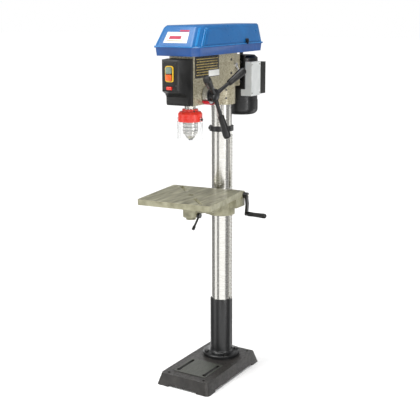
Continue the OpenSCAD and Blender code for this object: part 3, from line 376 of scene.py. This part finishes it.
# belt cover: ribs, panels and labels lie on its sloping faces
LID_Z, LID_TOP = 1.466, 1.542     # parting line and top edge
LID_DRAFT = 0.012                 # every face leans in by this much at the top
LID_NOSE = 0.040                  # and the front by this much more
LID_ROUND = 0.010
LID_CORNERS = ((0.078, -0.363), (0.095, -0.339), (0.070, 0.211), (0.052, 0.233))
FRONT, CORNER, SIDE = 0, 1, 2


def cover_centres(t):
    """Centres of the right side's corner rounds, at t from the parting line to the top edge."""
    g = LID_DRAFT * t
    nose = g + LID_NOSE * t
    return [Vector((x - g, y + nose if y < 0 else y - g)) for x, y in LID_CORNERS]


def cover_point(face, s, t, side=1, out=0.0):
    """A point on a face of the cover: s runs along it and t up it."""
    c = cover_centres(t)
    if face == FRONT:
        a, b = Vector((-c[0].x, c[0].y)), c[0]
    else:
        a, b = c[face - 1], c[face]
    d = (b - a).normalized()
    n = Vector((d.y, -d.x))
    p = a.lerp(b, s) + n * (LID_ROUND + out)
    return Vector((side * p.x, p.y + COLUMN.y, LID_Z + (LID_TOP - LID_Z) * t))


def cover_plate(name, face, s, t, out, material=None, side=1, nu=14, nv=6, lift=0.0):
    """A raised plate over the spans s and t of a face, with sloping edges."""
    bm = bmesh.new()
    sunk, slope = 0.0007, 0.02

    def grid(inset, o):
        rows = []
        for j in range(nv + 1):
            row = []
            for i in range(nu + 1):
                ds = inset * (s[1] - s[0]) * ((i == 0) - (i == nu))
                dt = inset * (t[1] - t[0]) * ((j == 0) - (j == nv))
                row.append(bm.verts.new(cover_point(
                    face, s[0] + (s[1] - s[0]) * i / nu + ds,
                    t[0] + (t[1] - t[0]) * j / nv + dt, side, o)))
            rows.append(row)
        return rows

    low, top = grid(0, lift - sunk), grid(slope, out + lift)
    for j in range(nv):
        for i in range(nu):
            bm.faces.new((top[j][i], top[j][i + 1], top[j + 1][i + 1], top[j + 1][i]))
    border = ([(0, i) for i in range(nu + 1)] + [(j, nu) for j in range(1, nv + 1)]
              + [(nv, i) for i in range(nu - 1, -1, -1)] + [(j, 0) for j in range(nv - 1, 0, -1)])
    for (j, i), (j2, i2) in zip(border, border[1:] + border[:1]):
        bm.faces.new((low[j][i], low[j2][i2], top[j2][i2], top[j][i]))
    bmesh.ops.recalc_face_normals(bm, faces=bm.faces)
    return add(name, bm, "lid", "blue_paint", material, 30)


RIB_T = (0.05, 0.98)
for side, tag in ((1, "right"), (-1, "left")):
    cover_plate("cover_panel_" + tag, SIDE, (0.055, 0.985), (0.10, 0.93), 0.0028, side=side, nu=30)
    for rib, face, span, out in (("a", SIDE, (0.004, 0.014), 0.0034),
                                 ("b", SIDE, (0.026, 0.036), 0.0034),
                                 ("c", CORNER, (0.30, 0.62), 0.0026)):
        # the ribs take the lighter blue, a painted highlight on their ridges
        cover_plate("cover_rib_%s_%s" % (rib, tag), face, span, RIB_T, out, "blue_edge", side, nu=3)
LABEL = 0.0008                    # thickness; the printed lines lie on it
cover_plate("cover_label", FRONT, (0.13, 0.88), (0.20, 0.76), LABEL, "label_white")
cover_plate("cover_label_strip", FRONT, (0.54, 0.87), (0.78, 0.86), LABEL, "label_red", nv=2)
for name, s, t, material in (
        ("cover_label_line", (0.27, 0.66), (0.40, 0.56), "label_red"),
        ("cover_label_line_2", (0.22, 0.74), (0.30, 0.33), "label_gold")):
    cover_plate(name, FRONT, s, t, 0.0004, material, lift=LABEL, nv=2)

# chart plate and rating label on the head's right side
CHART_Y, CHART_Z = -0.100, 1.3835
CHART_FACE = HEAD_X + 0.0008


def head_plate(name, w, h, r, at, depth, material, crown):
    slab(name, "stand", "hammertone", rounded(w, h, r), at, *ON_RIGHT, depth, material, crown)


head_plate("chart_plate", 0.186, 0.086, 0.002, (HEAD_X, CHART_Y, CHART_Z), 0.0008,
           "label_black", 0.0003)
for row in range(7):
    head_plate("chart_row_%d" % row, 0.168 - 0.010 * (row % 2), 0.0036, 0.001,
               (CHART_FACE, CHART_Y, CHART_Z + 0.032 - 0.0105 * row), 0.0003,
               "label_gold", 0.0001)
for colm in range(4):
    head_plate("chart_column_%d" % colm, 0.0016, 0.070, 0.0005,
               (CHART_FACE, CHART_Y - 0.060 + 0.040 * colm, CHART_Z), 0.0004,
               "label_black", 0.0001)
head_plate("rating_label", 0.084, 0.024, 0.0015, (HEAD_X + 0.0010, -0.048, 1.3555), 0.0006,
           "label_white", 0.0002)
for i, z in enumerate((1.402, 1.345)):
    screw("head_screw_%d" % i, "stand", (HEAD_X, 0.094, z), "X", 0.0058)

# switch: rounded frame, dark inset and domed buttons
SWITCH_Z = 1.3635
FRAME_OUT = 0.0045
frame_plate = slab("switch_frame", "stand", "yellow_plastic", rounded(0.038, 0.063, 0.010),
                   (0, FRONT_Y, SWITCH_Z), *ON_FRONT, FRAME_OUT, None, 0.002)
slab("switch_inset", "stand", "yellow_plastic", rounded(0.0305, 0.0565, 0.0075),
     (0, FRONT_Y - FRAME_OUT, SWITCH_Z), *ON_FRONT, 0.0006, "black_plastic", 0.0003)
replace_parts(frame_plate, "switch_plate")
for name, z, body, slot, mat in (
        ("start_cap", SWITCH_Z + 0.014, "start_button", "green_plastic", None),
        ("stop_cap", SWITCH_Z - 0.014, "stop_button", "red_plastic", "orange_plastic")):
    cap = slab(name, body, slot, rounded(0.0265, 0.0255, 0.006), (0, FRONT_Y - 0.0052, z),
               *ON_FRONT, 0.0068, mat, 0.003)
    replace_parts(cap, body)
for i, (x, z) in enumerate(((-0.028, 1.404), (0.028, 1.404), (-0.03, 1.318), (0.03, 1.318))):
    screw("cover_screw_%d" % i, "stand", (x, FRONT_Y, z), "-Y", 0.0034)

# chuck: dark turned bands
BAND_IN, BAND_R, BAND_EDGE = 0.0305, 0.0314, 0.0006
for i, (z0, z1) in enumerate(((1.1235, 1.1275), (1.1385, 1.1425), (1.1525, 1.1555))):
    revolve("chuck_band_%d" % i, "chuck_sleeve", "bright_steel",
            [(BAND_IN, z0), (BAND_R, z0 + BAND_EDGE), (BAND_R, z1 - BAND_EDGE), (BAND_IN, z1)],
            SPINDLE, "Z", "dark_steel", 64)

# depth ring graduations, each fifth one longer
MARKS = 40
RING_EDGE, RING_R = 0.0813, 0.03595
for i in range(MARKS):
    a = math.tau * i / MARKS
    w = 0.0105 if i % 5 == 0 else 0.006
    r = Vector((0, math.cos(a), math.sin(a)))
    at = FEED_AXIS + Vector((RING_EDGE - w / 2, 0, 0)) + r * RING_R
    slab("ring_mark_%02d" % i, "depth_ring", "cast_aluminium", rounded(w, 0.0009, 0.0003, 2), at,
         (1, 0, 0), Vector((1, 0, 0)).cross(r), 0.0003, "label_black", 0.0001)

# motor: cooling ribs clear of the mount and the grey box, nameplate and screws
UP = Vector((0, 0, 1))
RIBS = 30
for i in range(RIBS):
    degrees = -30 + 300 * i / (RIBS - 1)
    a = math.radians(degrees)
    r = Vector((math.cos(a), math.sin(a), 0))
    if r.y < -0.72 or 0.02 < degrees < 75:
        continue
    slab("motor_rib_%02d" % i, "motor", "black_paint", rounded(0.0034, 0.150, 0.0014, 3),
         MOTOR + UP * 1.304 + r * 0.0725, UP.cross(r), UP, 0.0024, None, 0.0012)
slab("motor_label", "motor", "black_paint", rounded(0.050, 0.034, 0.002),
     MOTOR + Vector((-0.0742, 0, 1.305)), (0, -1, 0), (0, 0, 1), 0.0012, "label_white", 0.0003)
for i, a in enumerate((45, 135, 225, 315)):
    r = Vector((math.cos(math.radians(a)), math.sin(math.radians(a)), 0))
    screw("bell_screw_%d" % i, "motor", MOTOR + UP * 1.4085 + r * 0.060, "Z", 0.004,
          "bright_steel")
for i, (y, z) in enumerate(((0.215, 1.25), (0.215, 1.374), (0.284, 1.25), (0.284, 1.374))):
    screw("box_screw_%d" % i, "motor", (0.092, y, z), "X", 0.0032, "bright_steel")
for i, (y, z) in enumerate(((0.305, 1.255), (0.305, 1.369), (0.334, 1.312))):
    screw("capacitor_screw_%d" % i, "motor", (0.090, y, z), "X", 0.003)


# ---------------------------------------------------------------- stage, light, camera
def staged(name, bm, material):
    """A piece of the studio, which isn't part of the object."""
    mesh = bpy.data.meshes.new(name)
    bm.to_mesh(mesh)
    bm.free()
    mesh.materials.append(material)
    obj = bpy.data.objects.new(name, mesh)
    bpy.context.scene.collection.objects.link(obj)
    return obj


FLOOR = 40
bm = bmesh.new()
for x, y in ((-1, -1), (1, -1), (1, 1), (-1, 1)):
    bm.verts.new((x * FLOOR, y * FLOOR, 0))
bm.faces.new(bm.verts)
paint = Paint("floor_paint", 0.8)
paint.colour(paint.noise(2, 2), (0.3, (0.93, 0.93, 0.93)), (0.7, (0.95, 0.95, 0.95)))
floor = staged("floor", bm, paint.m)
floor.visible_glossy = False

# a dim sky lights the object, and a white one lies behind it
world = bpy.data.worlds.new("studio")
world.use_nodes = True
tree = world.node_tree
sky = tree.nodes["Background"]
sky.inputs["Color"].default_value = (1, 1, 1, 1)
sky.inputs["Strength"].default_value = 0.34
plain = tree.nodes.new("ShaderNodeBackground")
plain.inputs["Color"].default_value = (1, 1, 1, 1)
plain.inputs["Strength"].default_value = 1.0
ray = tree.nodes.new("ShaderNodeLightPath")
mix = tree.nodes.new("ShaderNodeMixShader")
tree.links.new(ray.outputs["Is Camera Ray"], mix.inputs["Fac"])
tree.links.new(sky.outputs[0], mix.inputs[1])
tree.links.new(plain.outputs[0], mix.inputs[2])
tree.links.new(mix.outputs[0], tree.nodes["World Output"].inputs["Surface"])
bpy.context.scene.view_settings.view_transform = "Standard"
bpy.context.scene.world = world


def area(name, at, target, size, power, tint=(1, 1, 1)):
    light = bpy.data.lights.new(name, "AREA")
    light.shape = "RECTANGLE"
    light.size, light.size_y = size
    light.energy = power
    light.color = tint
    o = bpy.data.objects.new(name, light)
    bpy.context.scene.collection.objects.link(o)
    o.location = at
    o.rotation_euler = (Vector(target) - Vector(at)).to_track_quat("-Z", "Y").to_euler()


MIDDLE = (0, 0, 0.8)
area("key", (-2.4, -2.4, 2.4), MIDDLE, (0.7, 2.8), 50, (1, 0.99, 0.97))
area("side", (3.2, -0.9, 1.8), MIDDLE, (0.55, 3.0), 44)
area("front", (1.2, -4.2, 2.2), MIDDLE, (0.35, 2.6), 22)
area("top", (0.2, -0.4, 4.4), (0, 0, 0), (3.2, 3.2), 12)
sun = bpy.data.lights.new("even", "SUN")
sun.energy = 2.75
sun.angle = math.radians(50)
o = bpy.data.objects.new("even", sun)
o.rotation_euler = (math.radians(12), math.radians(-8), 0)
bpy.context.scene.collection.objects.link(o)

# bright cards that only gloss sees, so that the ground steel has light and dark bands
CARD_R, CARD_LOW, CARD_HIGH, CARD_STEPS = 2.2, -1.1, 0.95, 8
card_mat = bpy.data.materials.new("card")
card_mat.use_nodes = True
tree = card_mat.node_tree
glow = tree.nodes.new("ShaderNodeEmission")
glow.inputs["Strength"].default_value = 1.7
tree.links.new(glow.outputs[0], tree.nodes["Material Output"].inputs["Surface"])
for a0, a1 in ((-52, -22), (4, 78), (128, 160), (200, 250)):
    bm = bmesh.new()
    rows = []
    for i in range(CARD_STEPS + 1):
        a = math.radians(a0 + (a1 - a0) * i / CARD_STEPS)
        rows.append([bm.verts.new((CARD_R * math.sin(a), -CARD_R * math.cos(a), z))
                     for z in (CARD_LOW, CARD_HIGH)])
    for p, q in zip(rows, rows[1:]):
        bm.faces.new((p[0], q[0], q[1], p[1]))
    card = staged("card_%d" % a0, bm, card_mat)
    card.visible_camera = card.visible_diffuse = False
    card.visible_shadow = card.visible_transmission = False

# camera: where it stands from the column, and how it is turned from facing the column
AZIMUTH, DISTANCE, HEIGHT = math.radians(30.57), 3.744, 1.61775
HEADING, TILT, ROLL = math.radians(30.57 + 0.78), math.radians(13.25), math.radians(-0.15)
LENS, SENSOR = 73.8, 36                   # millimetres
where = COLUMN + Vector((DISTANCE * math.sin(AZIMUTH), -DISTANCE * math.cos(AZIMUTH), HEIGHT))
look = Vector((-math.sin(HEADING) * math.cos(TILT), math.cos(HEADING) * math.cos(TILT),
               -math.sin(TILT)))
level = Vector((math.cos(HEADING), math.sin(HEADING), 0))
upright = level.cross(look)
right = level * math.cos(ROLL) + upright * math.sin(ROLL)
up = upright * math.cos(ROLL) - level * math.sin(ROLL)
cam = bpy.data.objects.new("camera", bpy.data.cameras.new("camera"))
cam.data.lens = LENS
cam.data.sensor_width = SENSOR
cam.matrix_world = Matrix.Translation(where) @ Matrix((right, up, -look)).transposed().to_4x4()
bpy.context.scene.collection.objects.link(cam)
bpy.context.scene.camera = cam

bpy.context.view_layer.update()
